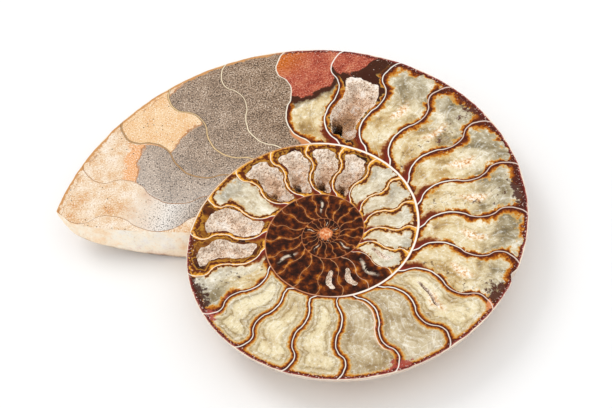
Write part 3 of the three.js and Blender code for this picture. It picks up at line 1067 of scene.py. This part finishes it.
def face_material():
    """Calcite, shell and sand ground flat and polished: a smooth, softly glossy skin over the pattern."""
    made, add, shader = material("polished_calcite_and_sandstone")
    coil = whorl_place(add)
    colour = calcite_layer(add, coil)
    for layer in (amber_layer, dark_layer, clay_layer, stain_layer):
        colour = layer(add, coil, colour)
    colour, sand = sandstone_layer(add, coil, colour)
    for layer in (rim_layer, septum_layer, wall_layer, centre_layer):
        colour = layer(add, coil, colour)
    rough = add(RANGE, sand, 0, 1, *FACE_ROUGHNESS)
    feed(shader, {"Base Color": colour, "Roughness": rough, "Specular IOR Level": 0.12})
    return made


DRUSE_GRAIN_SIZE = 0.5
FOLD_SHADE_SIZE = 2.6
DARKEST_SHADE_DEPTH = 7


def druse_material():
    """Tiny calcite crystals that grew in the hollow chambers: matt and pale, with painted shade that turns
    them brown and near black deeper down, and painted shade and light of soft folds in random patches.
    """
    made, add, shader = material("grown_calcite_crystals")
    place = coil_millimetres(add)
    grain = add(NOISE, place, 1 / DRUSE_GRAIN_SIZE, 3)
    shade = add(RAMP, grain, stops=[(0.32, "#9C8672"), (0.44, "#E6D8CA"), (0.58, "#FFFDF8")])
    # Painted shade: the crystals get darker and browner with depth below the face, down to near black.
    painted_shade_depth = add(RANGE, add(SPLIT, place).outputs["Z"], 0, -DARKEST_SHADE_DEPTH)
    painted_depth_shade = add(RAMP, painted_shade_depth, stops=[
        (0.2, "#FFF4E8"), (0.36, "#F8E0CA"), (0.52, "#D6AE88"), (0.7, "#86603E"), (0.95, "#1E0E06"),
    ])
    colour = add(BLEND, 1, painted_depth_shade, shade, blend_type="MULTIPLY")
    # Painted shade and light of soft folds: random patches turned brown or near white.
    painted_fold_shade = add(NOISE, place, 1 / FOLD_SHADE_SIZE, 4)
    colour = tinted(add, colour, painted_fold_shade, (0.48, 0.34, 0.45, "#98724E"), (0.54, 0.66, 0.6, "#FFFBF4"))
    feed(shader, {"Base Color": colour, "Roughness": 0.5})
    return made


SHELL_PATCH_SIZE = 11
SHEEN_PATCH_SIZE = 5.5
FRILL_DEGREES = 7
FRILL_WAVE = 0.5
LOBES = 6
FOLDS = 23
FOLD_SHARE = 0.35
SUTURE_HALF_WIDTH = 0.05
SUTURE_OUTWARDS = (0.35, 0.95)


def shell_material():
    """The outer shell, worn smooth in the ground: pale at the rim, which is a painted highlight, with a
    painted pearly sheen in pink and green patches, browner below, darker between its ribs and, where it is
    worn thin, with the frilled brown lines of the chamber walls."""
    made, add, shader = material("worn_pearly_shell")
    place = coil_millimetres(add)
    angle, out = flank_place(add, place)
    patch = add(NOISE, place, 1 / SHELL_PATCH_SIZE, 6, 0.62)
    sheen = add(NOISE, place, 1 / SHEEN_PATCH_SIZE, 3)
    colour = add(RAMP, patch, stops=[
        (0.32, "#A8764C"), (0.43, "#C49C72"), (0.52, "#D6B894"), (0.62, "#E2CDB4"), (0.74, "#EDE2D4"),
    ])
    # Painted sheen: pink and green pearly patches that stay the same from every side.
    colour = tinted(add, colour, sheen, (0.5, 0.7, 0.4, "#E6C2B6"), (0.46, 0.3, 0.35, "#D6DAC4"))
    # Painted highlight: the flank turns pale near the rim.
    colour = tinted(add, colour, out, (0.86, 0.99, 0.8, "#E8DACC"))
    colour = tinted(add, colour, groove_field(add, place, angle, out), (0.5, 1, 0.25, "#8A5A34"))

    lobes = add("SINE", add("MULTIPLY", out, LOBES * math.tau))
    folds = add("SINE", add("MULTIPLY", out, FOLDS * math.tau))
    frill = add("MULTIPLY_ADD", folds, FOLD_SHARE, lobes)
    frill = add("ADD", frill, spread(add, sheen, FRILL_WAVE))
    bent = add("MULTIPLY_ADD", frill, FRILL_DEGREES / 2, angle)
    to_line = add("PINGPONG", phase_field(add, bent), 0.5)
    suture = add(RANGE, to_line, SUTURE_HALF_WIDTH / 2, SUTURE_HALF_WIDTH, 1, 0)
    worn = add("MULTIPLY", add(RANGE, patch, 0.56, 0.46, 0, 0.8), inside(add, out, *SUTURE_OUTWARDS, 0.05))
    colour = add(BLEND, add("MULTIPLY", suture, worn), colour, "#5E3418")
    feed(shader, {"Base Color": colour, "Roughness": 0.35, "Specular IOR Level": 0.3})
    return made


BREAK_GRAIN_SIZE = 0.5
BREAK_PATCH_SIZE = 6
BREAK_GRAIN_HEIGHT = 0.1
BREAK_STAIN_TOP = -4


def broken_material():
    """Sandstone as it broke: matt cream, grainy and uneven, with orange stains towards the lower edge."""
    made, add, shader = material("broken_sandstone")
    place = coil_millimetres(add)
    patch = add(NOISE, place, 1 / BREAK_PATCH_SIZE, 6, 0.65)
    grain = add(NOISE, place, 1 / BREAK_GRAIN_SIZE, 3)
    colour = add(RAMP, patch, stops=[
        (0.34, "#F9D4A8"), (0.46, "#FFEACE"), (0.56, "#FFF5E2"), (0.68, "#F8F2EA"),
    ])
    low = add(RANGE, add(SPLIT, place).outputs["Z"], BREAK_STAIN_TOP, -HALF_THICKNESS, -0.2, 0.12)
    colour = tinted(add, colour, add("ADD", patch, low), (0.5, 0.66, 0.5, "#E5A46A"))
    colour = tinted(add, colour, grain, (0.58, 0.7, 0.25, "#C08A54"))
    bump = add("ShaderNodeBump", named={
        "Strength": 1, "Distance": BREAK_GRAIN_HEIGHT * MM, "Height": grain,
    })
    feed(shader, {"Base Color": colour, "Roughness": 0.85, "Normal": bump})
    return made


FACE = face_material()
DRUSE = druse_material()
SHELL = shell_material()
BROKEN = broken_material()


# The pieces

body = grow("fossil_half", coil_tree(), {
    "Tip radius": TIP_RADIUS, "Half thickness": HALF_THICKNESS, "Columns": COLUMNS,
    "Face": FACE, "Shell": SHELL, "Broken end": BROKEN,
})
rooms = room_tree()
cutters = [
    grow(f"room_{place}", rooms, {
        "First wall": septum_angle(chamber), "Second wall": septum_angle(chamber + 1),
        "Across from": across[0], "Across to": across[1], "Out from": outwards[0], "Out to": outwards[1],
        "Depth": depth, "Slant": slant, "Lining": DRUSE,
    })
    for place, (chamber, across, outwards, depth, slant) in enumerate(ROOMS)
]
for cutter in cutters:
    cut = body.modifiers.new("cut", "BOOLEAN")
    cut.solver = "MANIFOLD"
    cut.operation = "DIFFERENCE"
    cut.material_mode = "TRANSFER"
    cut.object = cutter
bake(body)
for cutter in cutters:
    bpy.data.objects.remove(cutter)

crystals = grow("druse_crystals", crystal_tree(), {
    "Smallest": CRYSTAL_SIZE[0], "Largest": CRYSTAL_SIZE[1], "Per square metre": CRYSTALS_PER_MM2 / MM**2,
    "Ground": DRUSE,
}, body.data)

for piece in (body, crystals):
    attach(piece, "root")
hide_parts("ammonite_half")


# Floor, light and camera

FLOOR_REACH_M = 3
FLOOR_SIGNS = [(-1, -1), (1, -1), (1, 1), (-1, 1)]
floor_mesh = bpy.data.meshes.new("floor")
floor_corners = [(x * FLOOR_REACH_M, y * FLOOR_REACH_M, 0) for x, y in FLOOR_SIGNS]
floor_mesh.from_pydata(floor_corners, [], [(0, 1, 2, 3)])
floor = put("floor", floor_mesh)
PAPER, _, paper_shader = material("white_paper")
feed(paper_shader, {"Base Color": "#FAFAFA", "Roughness": 0.9})
floor_mesh.materials.append(PAPER)

# The photo's camera, as fitted to the rim of the coil: the coil's middle falls on a known pixel
IMAGE_WIDTH, IMAGE_HEIGHT = 612, 408
FOCAL_PIXELS = 1750
COIL_PIXEL = (325.6, 233.5)
MM_PER_PIXEL = 0.25
VIEW_ELEVATION = 54
VIEW_ROLL = -9
SENSOR = 36

camera_data = bpy.data.cameras.new("camera")
camera_data.sensor_width = SENSOR
camera_data.lens = SENSOR * FOCAL_PIXELS / IMAGE_WIDTH
camera = put("camera", camera_data)
tilt = Matrix.Rotation(math.radians(90 - VIEW_ELEVATION), 4, "X")
turn = tilt @ Matrix.Rotation(math.radians(VIEW_ROLL), 4, "Z")
coil_in_picture = (COIL_PIXEL[0] - IMAGE_WIDTH / 2, IMAGE_HEIGHT / 2 - COIL_PIXEL[1], -FOCAL_PIXELS)
offset = Vector(coil_in_picture) * MM_PER_PIXEL * MM
camera.matrix_world = Matrix.Translation(COIL - turn.to_3x3() @ offset) @ turn
bpy.context.scene.camera = camera

SKY_STRENGTH = 0.94
world = bpy.data.worlds.new("studio")
world.use_nodes = True
feed(world.node_tree.nodes["Background"], {"Color": "#FFFFFF", "Strength": SKY_STRENGTH})
scene.world = world

KEY_PLACE_M = Vector((-0.5, 0.5, 0.9))
KEY_SIZE_M = 0.5
KEY_POWER_W = 3
key_data = bpy.data.lights.new("key", "AREA")
key_data.size = KEY_SIZE_M
key_data.energy = KEY_POWER_W
key = put("key", key_data)
key.location = KEY_PLACE_M
key.rotation_euler = (-KEY_PLACE_M).to_track_quat("-Z", "Y").to_euler()
scene.view_settings.view_transform = "Standard"
